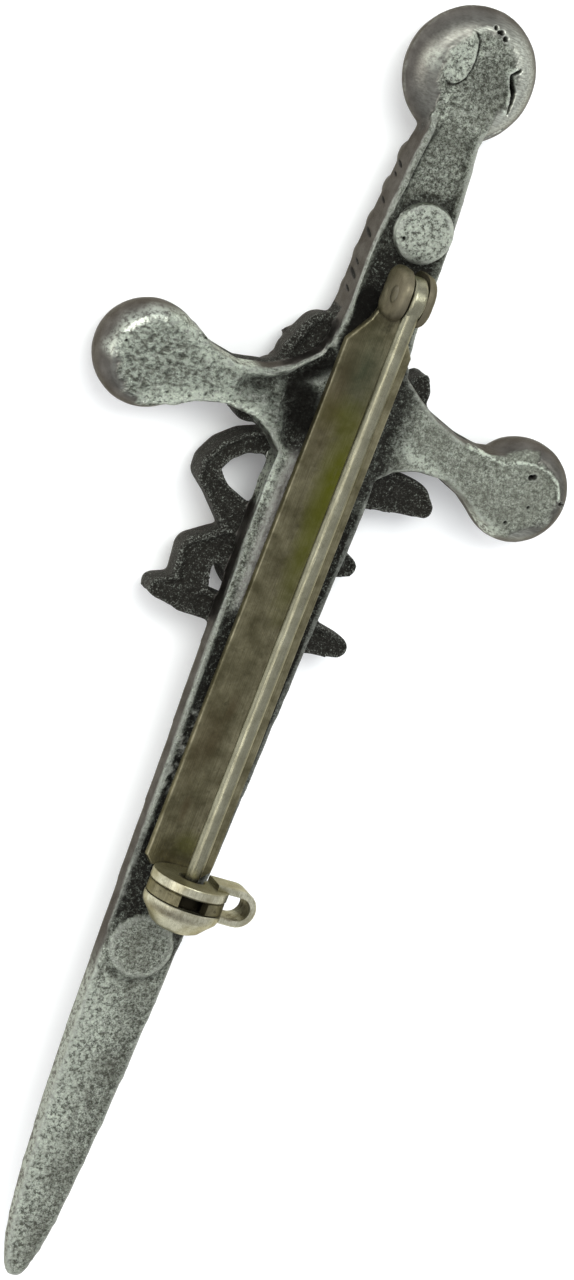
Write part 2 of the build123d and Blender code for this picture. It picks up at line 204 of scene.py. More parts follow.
# Bar pin
bed_half_width = 1.9
bed_low_y = -15.2
bed_high_y = 26.4
sheet = 0.55
bar_top_z = 7.1
bar_bottom_z = bar_top_z - sheet
bar_half_width = 2.7
bar_low_y = -16.4
bar_shoulder_y = 25.0
bar_corner = 0.6
rim_round = 0.16
ear_inner_x = 0.65
ear_outer_x = 1.42
ear_half_length = 2.0
ear_top_z = 10.6
ear_corner = 1.7
tongue_half_width = 1.6
rivet_y = 29.5
rivet_z = 9.25
rivet_radius = 0.38
rivet_head_radius = 0.66
rivet_head_height = 0.09
eye_radius = 1.55
eye_worn_radius = 1.75
eye_hole_radius = 0.43
eye_half_width = 0.6
wire_radius = 0.6
stem_z = rivet_z + eye_radius - wire_radius
catch_z = stem_z
ring_radius = 2.95
ring_bore_radius = 2.15
ring_high_y = -17.3
ring_low_y = -18.25
ring_gap_low_x = -1.2
ring_gap_high_x = 0.68
drum_radius = 1.75
collar_radius = 3.0
collar_high_y = -16.45
collar_clearance = 0.05
cap_collar = 0.8
cap_end_y = -20.6
bore_radius = 1.05
bore_end_y = -19.9
slot_width = 1.5
slot_angle = -50.0
loop_outer = 1.42
loop_inner = 0.9
loop_y = -17.5
loop_start_x = 2.3
loop_reach_x = 5.35
loop_half_height = 1.2


# Modelling helpers

def new_object(name, bm):
    """An object of the finished bmesh, at the origin."""
    mesh = bpy.data.meshes.new(name)
    bm.to_mesh(mesh)
    bm.free()
    made = bpy.data.objects.new(name, mesh)
    bpy.context.scene.collection.objects.link(made)
    return made


def apply_modifiers(made):
    """The object's mesh with its modifiers in it."""
    bpy.context.view_layer.update()
    seen = made.evaluated_get(bpy.context.evaluated_depsgraph_get())
    finished = bpy.data.meshes.new_from_object(seen)
    made.modifiers.clear()
    made.data = finished


def ring(bm, points):
    """A closed loop of edges through the points."""
    verts = [bm.verts.new(p) for p in points]
    return [bm.edges.new(pair) for pair in zip(verts, verts[1:] + verts[:1])]


def loft(bm, rings):
    """A closed skin over rings of points."""
    loops = [ring(bm, points) for points in rings]
    for low, high in zip(loops, loops[1:]):
        bmesh.ops.bridge_loops(bm, edges=low + high)
    for end in (loops[0], loops[-1]):
        bmesh.ops.contextual_create(bm, geom=end)


def unit_ball():
    """Points spread over a round of radius 1."""
    bm = bmesh.new()
    bmesh.ops.create_icosphere(bm, subdivisions=3, radius=1)
    points = [v.co.copy() for v in bm.verts]
    bm.free()
    return points


BALL = unit_ball()


def ball(x, y, z, r, height=None):
    """Points over a round at a place, squashed to a half height."""
    return [Vector((x + p.x * r, y + p.y * r, z + p.z * (height or r))) for p in BALL]


def disc(x, y, z, r):
    """Points round a flat circle."""
    return [Vector((x + r * cos(a), y + r * sin(a), z)) for a in (2 * pi * k / 24 for k in range(24))]


def hull(bm, points):
    """The tight closed skin over a set of points."""
    verts = [bm.verts.new(p) for p in points]
    bmesh.ops.convex_hull(bm, input=verts)
    inside = [v for v in verts if v.is_valid and not v.link_faces]
    bmesh.ops.delete(bm, geom=inside, context="VERTS")


def add_block(bm, low, high):
    """A closed box between two corners."""
    middle = [(a + b) / 2 for a, b in zip(low, high)]
    size = [b - a for a, b in zip(low, high)]
    bmesh.ops.create_cube(bm, size=1, matrix=Matrix.Translation(middle) @ Matrix.Diagonal((*size, 1)))


def revolve(bm, profile, centre, axis, steps, angle=2 * pi):
    """A profile turned about an axis: all round, or as a solid sector."""
    verts = [bm.verts.new(p) for p in profile]
    on_axis = {v for v in verts if (v.co - Vector(centre)).cross(Vector(axis)).length < 1e-6}
    whole = angle > 2 * pi - 0.001
    if whole:
        pairs = [pair for pair in zip(verts, verts[1:]) if not on_axis.issuperset(pair)]
        geom = verts + [bm.edges.new(pair) for pair in pairs]
    else:
        geom = [bm.faces.new(verts)]
        geom = verts + list(geom[0].edges) + geom
    bmesh.ops.spin(bm, geom=geom, cent=centre, axis=axis, dvec=(0, 0, 0), angle=angle,
                   steps=steps, use_merge=whole, use_duplicate=False)


def closed(bm, merge=0.0005):
    """Merges doubles and points all faces outwards."""
    bmesh.ops.remove_doubles(bm, verts=bm.verts, dist=merge)
    bmesh.ops.dissolve_degenerate(bm, edges=bm.edges, dist=merge / 10)
    bmesh.ops.recalc_face_normals(bm, faces=bm.faces)


def combine(name, shells, operation="UNION"):
    """One closed object from closed shells, the first joined with or cut by the others."""
    objects = []
    for index, bm in enumerate(shells):
        closed(bm)
        objects.append(new_object(f"{name}_{index}", bm))
    first = objects[0]
    for other in objects[1:]:
        cut = first.modifiers.new("combine", "BOOLEAN")
        cut.operation = operation
        cut.solver = "EXACT"
        cut.object = other
    apply_modifiers(first)
    for other in objects[1:]:
        bpy.data.objects.remove(other)
    first.name = name
    return first


def as_bmesh(made):
    """The object's mesh as a bmesh, and the object removed."""
    bm = bmesh.new()
    bm.from_mesh(made.data)
    bpy.data.objects.remove(made)
    return bm


def finish_piece(made, body, material, node):
    """Scales a piece to metres, gives it its material, ties it to its body, and hides the CAD node it stands
    for.
    """
    made.data.transform(Matrix.Scale(MM, 4))
    made.data.materials.clear()
    made.data.materials.append(material)
    made.data.polygons.foreach_set("use_smooth", [True] * len(made.data.polygons))
    made.data.update()
    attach(made, body)
    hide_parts(node)
    return made


def smooth_by_angle(made, degrees):
    """Keeps edges crisp that are sharper than the angle."""
    bm = bmesh.new()
    bm.from_mesh(made.data)
    for edge in bm.edges:
        edge.smooth = edge.calc_face_angle(0) < radians(degrees)
    for face in bm.faces:
        face.smooth = True
    bm.to_mesh(made.data)
    bm.free()
    even = made.modifiers.new("even", "WEIGHTED_NORMAL")
    even.keep_sharp = True
    apply_modifiers(made)


def blend(low, high, value):
    """0 below low, 1 above high and smooth between, also for arrays."""
    t = np.clip((value - low) / (high - low), 0, 1)
    return t * t * (3 - 2 * t)


def band(start, full, fade, end, value):
    """0 outside start and end, 1 from full to fade and smooth between."""
    return blend(start, full, value) * (1 - blend(fade, end, value))


# Casting. It is fused at this voxel size and smoothed, and regrows what smoothing takes off.
voxel = 0.212
smooth_rounds = 3
regrow = 0.04


def rounded_front(low, high, belly, depth, share, steps=9):
    """A section from low to high at the back, with a round front, as pairs of across and z."""
    side_z = back_z - depth * share
    middle = (low + high) / 2
    reach = (high - low) / 2 + belly
    drop = depth * (1 - share)
    front = [
        (middle + reach * cos(a), side_z - drop * sin(a))
        for a in (pi * k / steps for k in range(steps + 1))
    ]
    return [(low, back_z), (high, back_z), *front]


def add_blade(bm):
    rings = []
    for row in blade_rows:
        edge = row.half_width + blade_draft
        share = min(1.0, row.half_width / blade_full_half_width)
        edge_z = back_z - blade_edge_depth * share
        ridge_z = back_z - blade_ridge_depth * share
        flat_z = ridge_z + ridge_flat_rise * share
        rings.append([
            (-row.half_width, row.y, back_z),
            (row.half_width, row.y, back_z),
            (edge, row.y, edge_z),
            (ridge_flat_share * edge, row.y, flat_z),
            (0, row.y, ridge_z),
            (-ridge_flat_share * edge, row.y, flat_z),
            (-edge, row.y, edge_z),
        ])
    loft(bm, rings)


def add_grip(bm):
    rings = []
    for row in grip_rows:
        section = rounded_front(-row.half_width, row.half_width, grip_belly, row.depth, grip_side_share)
        rings.append([(x, row.y, z) for x, z in section])
    loft(bm, rings)
    # Rope wound round the sides and front, a coil at a time
    for k in range(coil_count):
        y = coil_top_y - coil_step * k
        half_width = np.interp(-y, [-row.y for row in grip_rows], [row.half_width for row in grip_rows])
        reach = half_width - coil_radius + coil_proud
        drop = coil_drop + coil_drop_step * k
        spots = []
        for step in range(coil_spans + 1):
            a = pi * step / coil_spans
            x = -reach * cos(a)
            spots.append((x, y + coil_lean * x, coil_start_z - drop * sin(a)))
        for start, end in zip(spots, spots[1:]):
            hull(bm, ball(*start, coil_radius) + ball(*end, coil_radius))


def add_arm(bm, rows):
    rings = []
    for row in rows:
        section = rounded_front(row.low_y, row.high_y, arm_belly, arm_depth, arm_side_share)
        rings.append([(row.x, y, z) for y, z in section])
    loft(bm, rings)


def add_bun(bm, bun):
    """A ball with a flat back and a rounded shoulder."""
    shoulder = bun.radius - bun.flat_radius
    rise = back_z - bun.widest_z
    profile = [(0, back_z), (bun.flat_radius * 0.5, back_z)]
    for a in (pi / 2 * k / 8 for k in range(9)):
        across, up = sin(a) ** bun_power, max(cos(a), 0) ** bun_power
        profile.append((bun.flat_radius + shoulder * across, bun.widest_z + rise * up))
    dome_radius = (bun.radius**2 + bun.widest_z**2) / (2 * bun.widest_z)
    half_angle = atan2(bun.radius, dome_radius - bun.widest_z)
    for k in range(1, 13):
        a = half_angle * (1 - k / 12)
        profile.append((dome_radius * sin(a), dome_radius * (1 - cos(a))))
    points = [(bun.x + r, bun.y, z) for r, z in profile]
    revolve(bm, points, (bun.x, bun.y, 0), (0, 0, 1), 48)


def add_lion(bm):
    for limb in lion:
        points = []
        for x, y, r in ((limb.x0, limb.y0, limb.r0), (limb.x1, limb.y1, limb.r1)):
            dome = min(r, limb_dome)
            points += ball(x, y, limb.front_z + dome, r * limb_taper, dome)
            points += disc(x, y, lion_back_z, r)
        hull(bm, points)
    for lock in locks:
        root = ball(lock.x0, lock.y0, lock.z + lock.r0, lock.r0)
        hull(bm, root + ball(lock.x1, lock.y1, lock.z + lock_tip_rise, lock.r1))


def add_boss(bm, boss):
    """A round pad with a soft rim and a slightly sunken middle."""
    rim = 0.26
    top = back_z + boss.height
    profile = [
        (boss.radius, back_z - 1),
        (boss.radius, top - rim),
        (boss.radius - 0.3 * rim, top - 0.3 * rim),
        (boss.radius - rim, top),
        (boss.radius * 0.6, top - 0.05),
        (0, top - 0.06),
    ]
    points = [(boss.x + r, boss.y, z) for r, z in profile]
    revolve(bm, [(boss.x, boss.y, back_z - 1), *points], (boss.x, boss.y, 0), (0, 0, 1), 40)


def add_bed(bm):
    add_block(bm, (-bed_half_width, bed_low_y, back_z - 1), (bed_half_width, bed_high_y, bar_bottom_z))


def field(points, scale, octaves=3, seed=0.0):
    """Smooth noise from -1 to 1 over points in millimetres."""
    shift = Vector((seed, seed * 1.7, seed * 0.3))
    return np.array([noise.fractal(Vector(p) * scale + shift, 0.6, 2.1, octaves) for p in points])


def cells(points, scale, seed=0.0):
    """Distance to the nearest cell point, for grains and pits."""
    shift = Vector((seed, seed * 1.3, seed * 0.7))
    return np.array([noise.voronoi(Vector(p) * scale + shift)[0][0] for p in points])


def neighbour_mean(values, edges, rounds):
    """Values averaged over the mesh's neighbours, several times."""
    count = np.zeros(len(values))
    np.add.at(count, edges.ravel(), 1)
    for _ in range(rounds):
        total = np.zeros_like(values)
        np.add.at(total, edges[:, 0], values[edges[:, 1]])
        np.add.at(total, edges[:, 1], values[edges[:, 0]])
        mean = total / (count[:, None] if values.ndim > 1 else count)
        values = 0.5 * values + 0.5 * mean
    return values


def read_mesh(mesh):
    """Vertices, normals and edges of a mesh as arrays."""
    co = np.zeros(len(mesh.vertices) * 3, np.float32)
    mesh.vertices.foreach_get("co", co)
    normal = np.zeros(len(mesh.vertices) * 3, np.float32)
    mesh.vertices.foreach_get("normal", normal)
    edges = np.zeros(len(mesh.edges) * 2, np.int32)
    mesh.edges.foreach_get("vertices", edges)
    return co.reshape(-1, 3).astype(float), normal.reshape(-1, 3).astype(float), edges.reshape(-1, 2)


def add_attribute(mesh, name, values):
    """A number for each vertex, which a finish can read."""
    layer = mesh.attributes.new(name, "FLOAT", "POINT")
    layer.data.foreach_set("value", np.asarray(values, np.float32))


def half_width_at(y):
    """Half the width of the blade or grip at its back, along the sword."""
    rows = [(row.y, row.half_width) for row in (*blade_rows[1:], *grip_rows[:-1])]
    rows.sort()
    return np.interp(y, [row[0] for row in rows], [row[1] for row in rows])


def line_distance(x, y, points):
    """How far each place is from a line through the points."""
    best = np.full(len(x), 1e9)
    for (x0, y0), (x1, y1) in zip(points, points[1:]):
        length = (x1 - x0) ** 2 + (y1 - y0) ** 2
        t = np.clip(((x - x0) * (x1 - x0) + (y - y0) * (y1 - y0)) / length, 0, 1)
        best = np.minimum(best, np.hypot(x - x0 - t * (x1 - x0), y - y0 - t * (y1 - y0)))
    return best


def near_line(x, y, points, width, soft):
    """1 close to a line through the points, and 0 away from it."""
    return 1 - blend(width, width + soft, line_distance(x, y, points))


def near_spot(x, y, spot_x, spot_y, radius, soft):
    """1 inside a round spot and 0 outside it."""
    return 1 - blend(radius, radius + soft, np.hypot(x - spot_x, y - spot_y))


# Blowholes of the casting's back: x, y, radius and depth
blowholes = [
    (-18.4, 19.8, 0.04, 0.3),
    (15.8, 19.1, 0.13, 0.6),
    (16.05, 19.2, 0.12, 0.6),
    (18.9, 17.85, 0.08, 0.5),
    (19.2, 17.75, 0.08, 0.5),
    (16.45, 16.9, 0.04, 0.3),
    (15.15, 15.3, 0.06, 0.3),
    (0.0, 49.85, 0.07, 0.5),
    (0.3, 49.62, 0.05, 0.3),
    (0.55, 49.65, 0.1, 0.5),
    (0.95, 49.3, 0.12, 0.6),
    (-1.3, 33.3, 0.06, 0.25),
]
# Cracks of the pommel, its raised patch, the step inside the grip's left rim, the sunken roots of the arms,
# and the crest across the right ball
pommel_cracks = [
    [(2.95, 47.5), (2.4, 46.95), (2.75, 46.2), (3.05, 45.75), (3.2, 44.9), (3.25, 44.1)],
    [(2.65, 41.9), (3.05, 42.45), (3.6, 42.9)],
]
patch_x, patch_y, patch_radius_x, patch_radius_y = -2.0, 47.05, 1.3, 2.15
grip_step = [(-1.2, 42.0), (-1.75, 39.0), (-1.95, 36.5), (-2.0, 35.0)]
hollow_left = [(-8.6, 19.5), (-6.4, 19.7), (-4.8, 20.7), (-3.3, 22.4), (-2.7, 23.2)]
hollow_left_low = [(-5.2, 19.8), (-4.0, 19.4), (-3.4, 18.2), (-3.0, 16.9)]
hollow_right = [(5.5, 18.8), (4.2, 19.0)]
crest_line = [(10.1, 19.9), (12.0, 19.6), (13.4, 19.5), (14.6, 20.0), (16.0, 20.1), (17.2, 19.9),
              (18.0, 19.2), (18.6, 18.1)]
# Notches of the grip's left wall: x, y and size
notches = [(-2.7, 38.1, 0.9), (-2.7, 37.3, 0.6), (-2.8, 35.2, 0.8), (-2.95, 32.6, 1.1), (-3.0, 30.3, 0.7),
           (-3.0, 29.4, 1.3), (-3.05, 28.2, 0.8)]
fault_reach = 0.4


def refine_faults(bm):
    """Divides the mesh finely about each crack, step, blowhole and notch."""
    middle = np.array([(e.verts[0].co + e.verts[1].co) / 2 for e in bm.edges])
    x, y, z = middle.T
    near = np.zeros(len(middle))
    for line in (*pommel_cracks, grip_step, crest_line):
        near = np.maximum(near, near_line(x, y, line, fault_reach, 0.01))
    ring_away = np.hypot((x - patch_x) / patch_radius_x, (y - patch_y) / patch_radius_y)
    near = np.maximum(near, (np.abs(ring_away - 1.03) < 0.16) * (x > patch_x - 0.5))
    for hole_x, hole_y, radius, _ in blowholes:
        near = np.maximum(near, near_spot(x, y, hole_x, hole_y, radius + 0.25, 0.01))
    near = near * (z > 4.2)
    for notch_x, notch_y, _ in notches:
        near = np.maximum(near, (np.hypot(y - notch_y, z - 4.2) < 0.95) * (x < notch_x + 0.5))
    chosen = [edge for edge, wanted in zip(bm.edges, near > 0.5) if wanted]
    bmesh.ops.subdivide_edges(bm, edges=chosen, cuts=2, use_grid_fill=True)


def sand_zone(co, normal):
    """How far each place is on the sand-rough back, from 0 to 1, and how far it faces up."""
    x, y, z = co.T
    up = blend(0.3, 0.6, normal[:, 2])
    level = blend(back_z - 0.55, back_z - 0.3, z) * up
    ragged = 0.35 * field(co, 0.6, 3, 31.0)
    for bun, middle_x, radius_x, radius_y in (
        (pommel, 0.1, 2.85, 3.45), (ball_left, 0.05, 2.85, 2.9), (ball_right, 0.0, 2.7, 2.6),
    ):
        away = np.hypot((x - bun.x - middle_x) / radius_x, (y - bun.y) / radius_y) + ragged * 0.5
        on_bun = np.hypot(x - bun.x, y - bun.y) < bun.radius + 0.3
        if bun is pommel:
            inward = (y < bun.y) & (np.abs(x) < 2.3)
        else:
            inward = np.sign(bun.x) * (bun.x - x) > 0
        level = np.where(on_bun & ~inward, level * (1 - blend(0.92, 1.12, away)), level)
    return level, up


def age_casting(made):
    """Sand texture, steps, pits and cracks of the back, and the attributes that its finish reads."""
    mesh = made.data
    co, normal, edges = read_mesh(mesh)
    co = co + normal * regrow
    x, y, z = co.T
    line = partial(near_line, x, y)
    spot = partial(near_spot, x, y)
    level, up = sand_zone(co, normal)
    on_boss = blend(back_z + 0.3, back_z + 0.45, z) * (np.abs(y - 5.5) > 21.5)
    lion_zone = (z < lion_back_z + 0.3) * (np.abs(x) < 10.5) * (y > 0) * (y < 26.8)
    lion_back = lion_zone * up
    edge = half_width_at(y) - np.abs(x)
    left = x < 0
    low_back = z < back_z + 0.3
    # Sunken faces: the grip inside its rims, the roots of the arms, and the groove beside the bar
    grip_zone = band(26.5, 27.5, 41.0, 42.5, y) * (1 - on_boss)
    rim_width = np.interp(y, [33.0, 37.0], [0.1, 0.36])
    grip_floor = grip_zone * blend(0, 0.22, edge - rim_width)
    arms = np.max([line(hollow_left, 0.25, 0.75), line(hollow_left_low, 0.5, 1.5),
                   0.4 * line(hollow_right, 0.4, 1.2)], axis=0)
    arms = arms * blend(-9.6, -6.5, np.where(left, x, -x * 2)) * blend(1.0, 1.9, np.abs(x) - 1.2)
    groove = band(-17.5, -16, 2, 4, y) * left + band(-17.5, -16, 12, 14, y) * ~left
    groove = groove * blend(0.25, 0.6, edge)
    sunken = 0.4 * grip_floor + 0.95 * arms + 0.3 * groove
    # Grains and pits, coarse on the left ball and the roots of the arms, fine elsewhere
    coarse_zone = np.maximum(spot(ball_left.x, ball_left.y, 3.5, 2.0), arms)
    coarse_zone = np.maximum(coarse_zone, line([(-13, 19), (-5, 19)], 1.5, 1.0))
    pommel_zone = spot(pommel.x, pommel.y, 4.0, 0.6)
    coarse = field(co, 0.55, 3, 3.0)
    fine = field(co, 1.9, 3, 11.0)
    pit = 1 - blend(0.08, 0.42, cells(co * (1, 1.25, 1), 1.25, 5.0))
    rough = (0.05 + 0.07 * pommel_zone) * coarse + (0.035 + 0.07 * coarse_zone + 0.09 * arms) * fine
    rough -= (0.02 + 0.13 * coarse_zone) * pit
    lift = level * rough * (1 - 0.6 * on_boss)
    lift -= level * sunken * (np.abs(x) < 11)
    channel = np.zeros(len(co))
    for limb in lion:
        spine = ((limb.x0, limb.y0), (limb.x1, limb.y1))
        reach = max(limb.r0, limb.r1)
        channel = np.maximum(channel, line(spine, 0.35 * reach, 0.4 * reach))
    lift += lion_back * (0.1 * coarse + 0.1 * fine - 0.35 * channel)
    # Raised patch, steps and cracks of the pommel, and the step inside the grip's left rim
    ring_away = np.hypot((x - patch_x) / patch_radius_x, (y - patch_y) / patch_radius_y) + 0.12 * coarse
    patch = (1 - blend(0.93, 1.0, ring_away)) * pommel_zone * level
    step = (1 - blend(0.02, 0.07, np.abs(ring_away - 1.03))) * (x > patch_x - 0.4) * pommel_zone * level
    rim_step = line(grip_step, 0.02, 0.12) * level
    crack_width = 0.14 - 0.11 * np.clip(np.abs(y - 45.9) / 1.7, 0, 1)
    crack_away = np.min([line_distance(x, y, points) for points in pommel_cracks], axis=0)
    crack = (1 - blend(0, 0.1, crack_away - crack_width)) * (z > 4.4)
    lip = near_line(x + 0.3, y, pommel_cracks[0], 0.03, 0.22) * pommel_zone * (z > 4.4)
    crest_thin = near_line(x, y + 0.12 * fine, crest_line, 0.03, 0.17) * (z > 5)
    lift += 0.1 * patch + 0.12 * lip + 0.12 * crest_thin
    lift -= 0.12 * step + 0.15 * rim_step + 0.9 * crack
    middle_of_pommel = spot(0.9, 46.0, 1.2, 1.2) * level * (1 - patch)
    holes = np.zeros(len(co))
    for hole_x, hole_y, radius, depth in blowholes:
        hole = spot(hole_x, hole_y, radius, 0.12) * (z > 4.2)
        lift -= depth * hole
        holes = np.maximum(holes, hole)
    # Notches between the rope's turns, where its ends meet the grip's left wall; their dark is painted shadow
    for notch_x, notch_y, size in notches:
        lean = (y - notch_y) + 0.35 * (z - 4.2)
        across = np.abs(lean) / (0.2 * size)
        along = np.abs(z - 4.3) / (0.7 * size)
        notch = (1 - blend(0.5, 1.0, np.hypot(across, along))) * (x < notch_x + 0.6)
        lift -= 0.1 * notch
        holes = np.maximum(holes, 0.85 * notch)
    # A fillet of solder closes the corner between the bar and the blade's left margin
    solder = left * band(2, 4.5, 16, 18.5, y) * level * blend(0.45, 1.0, edge)
    spots_of_solder = left * band(-12.5, -11, -6, -4, y) * level * blend(0.4, 0.8, fine + 0.45)
    spots_of_solder = spots_of_solder * blend(0.2, 0.5, edge)
    lift += 0.32 * solder + 0.22 * spots_of_solder
    # Walls keep a faint waviness from filing
    lift += 0.025 * (1 - up) * field(co, 0.5, 2, 21.0) * (z > 1)
    co = co + normal * lift[:, None]
    co = np.clip(co, low_mm + 0.01, high_mm - 0.01)
    mesh.vertices.foreach_set("co", co.astype(np.float32).ravel())
    mesh.update()
    co, normal, edges = read_mesh(mesh)
    hollow = np.einsum("ij,ij->i", neighbour_mean(co, edges, 5) - co, normal) / 0.05
    wide = np.einsum("ij,ij->i", neighbour_mean(co, edges, 30) - co, normal) / 0.2
    # Patina and painted shade: patina on the arms' roots, the lion and the groove, painted shadow by the
    # hinge, round the bosses, under the catch and in the groove beside the bar
    # Painted shadow of the hinge's ears on the back
    hinge = band(24.0, 25.5, 31.5, 33, y) * level * blend(0.3, 0.55, edge)
    # Painted shadows round the two bosses
    round_grip_boss = spot(boss_grip.x, boss_grip.y, 2.3, 0.9) * (1 - on_boss) * level
    round_blade_boss = spot(boss_blade.x + 0.3, boss_blade.y + 1.0, 2.6, 1.2) * low_back * level
    # Painted shade under the catch
    under_catch = band(-23.5, -21.5, -15.5, -14, y) * level * low_back
    right_margin = ~left * band(-19, -17, 12, 15, y) * blend(back_z - 1.6, back_z - 1.3, z)
    right_margin = right_margin * low_back * (x < 5.5)
    arm_root_left = level * np.max([
        0.6 * line([(-8.2, 19.4), (-6.2, 19.1), (-4.9, 18.0)], 0.3, 1.3),
        0.75 * line(hollow_left[:3], 0.2, 0.8),
        line(hollow_left[2:], 0.35, 0.6),
        line(hollow_left_low[1:], 0.8, 1.2),
    ], axis=0)
    arm_root_right = line([(3.2, 24.0), (3.3, 18), (3.6, 14.5)], 0.4, 2.6) * level
    # Patina on the lion, and painted contact shade on the arms' walls low down beside it
    lion_dark = lion_zone * blend(-0.5, 0.1, normal[:, 2])
    # Painted black shade, without light grains: left of the hinge and between the left arm and the bar;
    # cracks, pits and notches join it
    hinge_black = line([(-2.7, 25.0), (-2.2, 26.8), (-1.6, 28.0)], 0.75, 0.7) * level * blend(0.2, 0.45, edge)
    arm_black = line([(-4.6, 20.8), (-3.3, 21.9), (-2.6, 22.9)], 0.3, 0.6)
    arm_black = np.maximum(arm_black, line([(-4.2, 20.2), (-3.3, 19.6), (-3.0, 18.0)], 0.6, 0.9))
    arm_black = arm_black * (z > 4.5) * (normal[:, 2] > -0.2) * blend(0.4, 1.2, 23.6 - y + (x + 2.9))
    black_shade_and_pits = np.max([hinge_black, 0.95 * arm_black, crack, holes, 0.5 * step], axis=0)
    right_of_blade = blend(-1.0, 2.4, x) * (1 - blend(-25, -22, y)) * level
    # Patina and painted shade together; the groove term is also the bar's painted shadow
    patina_and_shade = np.max([
        hinge, 0.97 * round_grip_boss, 0.8 * round_blade_boss, 0.95 * under_catch, groove * level,
        0.97 * right_margin, 0.95 * arm_root_left, 0.93 * arm_root_right, 0.9 * lion_dark, crack, holes,
        0.25 * grip_floor, 0.85 * step, 0.7 * rim_step, 0.35 * middle_of_pommel, 0.3 * right_of_blade,
    ], axis=0)
    patina_and_shade = patina_and_shade * (1 - 0.9 * spots_of_solder)
    bright = np.clip(solder + spots_of_solder, 0, 1)
    # Paler metal, rubbed by handling: first boss, balls' shoulders, arm's lower band, blade's left; painted
    # highlight on the boss and the left ball's lit shoulder
    rubbed_left = line([(-14.5, 22.3), (-12.0, 20.9), (-8.5, 20.6)], 0.2, 0.9)
    rubbed_low = line([(-15.0, 16.4), (-10.5, 17.6), (-7.0, 17.3), (-4.6, 14.5), (-4.0, 12.0)], 0.2, 1.0)
    lit_shoulder = line([(-18.9, 19.0), (-18.3, 20.9), (-16.8, 22.1), (-15.0, 22.3)], 0.2, 0.8)
    flakes = line([(4.9, 18.6), (7.85, 17.3), (12.0, 15.0), (14.6, 14.2)], 0.15, 0.9)
    pale = np.max([
        0.5 * on_boss * (y > 0), 0.75 * rubbed_left, 0.9 * rubbed_low, 0.6 * lit_shoulder, crest_thin,
        0.6 * flakes, 0.2 * spot(-3.6, 46.3, 0.4, 0.8), 0.5 * patch, 0.9 * lip,
        0.45 * (1 - blend(-2.0, 1.0, x)) * (1 - blend(-28, -24, y)),
    ], axis=0) * (z > 4.6)
    # Painted highlights on the balls' satin shoulders, brightest on the pommel's right
    sheen_and_wear = np.zeros(len(co))
    for bun, bright_way, least, most in (
        (pommel, 5, 0.2, 0.85), (ball_left, 75, 0.08, 0.22), (ball_right, -130, 0.1, 0.5),
    ):
        out = np.hypot(x - bun.x, y - bun.y) / bun.radius
        way = np.cos(np.arctan2(y - bun.y, x - bun.x) - radians(bright_way))
        shoulder = blend(0.52, 0.66, out) * (1 - blend(0.78, 1.0, out)) * (z > 4.0) * (1 - level)
        sheen_and_wear = np.maximum(sheen_and_wear, shoulder * (least + (most - least) * blend(-0.1, 0.75, way)))
    # The hidden front, rubbed lighter where it stands out
    front = blend(0.1, 0.65, -normal[:, 2]) * (1 - blend(-0.25, 0.35, wide))
    sheen_and_wear = np.maximum(sheen_and_wear, 0.38 * front)
    # A thin painted sheen on the pommel's upper shoulder
    pommel_arc = line([(-1.5, 49.1), (-0.7, 49.6), (0.1, 49.75)], 0.04, 0.25)
    sheen_and_wear = np.maximum(sheen_and_wear, 0.8 * pommel_arc * (z > 5)) * (1 - crack)
    calm = blend(3.5, 6.5, x) * level
    painted = {
        "sand": level, "patina_and_shade": patina_and_shade, "bright": bright, "lion": lion_zone, "pale": pale, "black_shade_and_pits": black_shade_and_pits,
        "sheen_and_wear": sheen_and_wear, "coarse": coarse_zone * level, "calm": calm,
        "hollow": np.clip(hollow, -1, 1), "wide": np.clip(wide, -1, 1),
    }
    for name, values in painted.items():
        add_attribute(mesh, name, values)


def make_casting(material):
    bm = bmesh.new()
    add_blade(bm)
    add_grip(bm)
    add_arm(bm, arm_left)
    add_arm(bm, arm_right)
    for bun in (pommel, ball_left, ball_right):
        add_bun(bm, bun)
    add_lion(bm)
    for boss in (boss_grip, boss_blade):
        add_boss(bm, boss)
    add_bed(bm)
    closed(bm)
    made = new_object("sword", bm)
    remesh = made.modifiers.new("fuse", "REMESH")
    remesh.mode = "VOXEL"
    remesh.voxel_size = voxel
    apply_modifiers(made)
    bm = bmesh.new()
    bm.from_mesh(made.data)
    for _ in range(smooth_rounds):
        bmesh.ops.smooth_vert(bm, verts=bm.verts, factor=0.5,
                              use_axis_x=True, use_axis_y=True, use_axis_z=True)
    refine_faults(bm)
    bm.to_mesh(made.data)
    bm.free()
    age_casting(made)
    return finish_piece(made, "root", material, "sword_casting")


# Bar pin

def bar_plate():
    """The flat strip: neck between the ears, shoulders, cut corners, and a tongue under the catch's ring."""
    bm = bmesh.new()
    ear_low = rivet_y - ear_half_length
    ear_high = rivet_y + ear_half_length
    neck_x = ear_outer_x - 0.3
    outline = [
        (neck_x, ear_high - 0.9),
        (neck_x, ear_low + 0.3),
        (ear_outer_x, ear_low - 0.55),
        (bar_half_width, bar_shoulder_y),
        (bar_half_width, bar_low_y),
        (bar_half_width - bar_corner, bar_low_y - bar_corner),
        (tongue_half_width, bar_low_y - bar_corner),
        (tongue_half_width, ring_low_y),
    ]
    outline += [(-px, py) for px, py in reversed(outline)]
    face = bm.faces.new([bm.verts.new((px, py, bar_bottom_z)) for px, py in outline])
    raised = bmesh.ops.extrude_face_region(bm, geom=[face])
    top = [item for item in raised["geom"] if isinstance(item, bmesh.types.BMVert)]
    bmesh.ops.translate(bm, verts=top, vec=(0, 0, sheet))
    closed(bm)
    rim = [e for e in bm.edges if all(v.co.z > bar_top_z - 0.01 for v in e.verts)]
    bmesh.ops.bevel(bm, geom=rim, offset=rim_round, offset_type="OFFSET", affect="EDGES", segments=2,
                    profile=0.5, material=-1)
    return bm


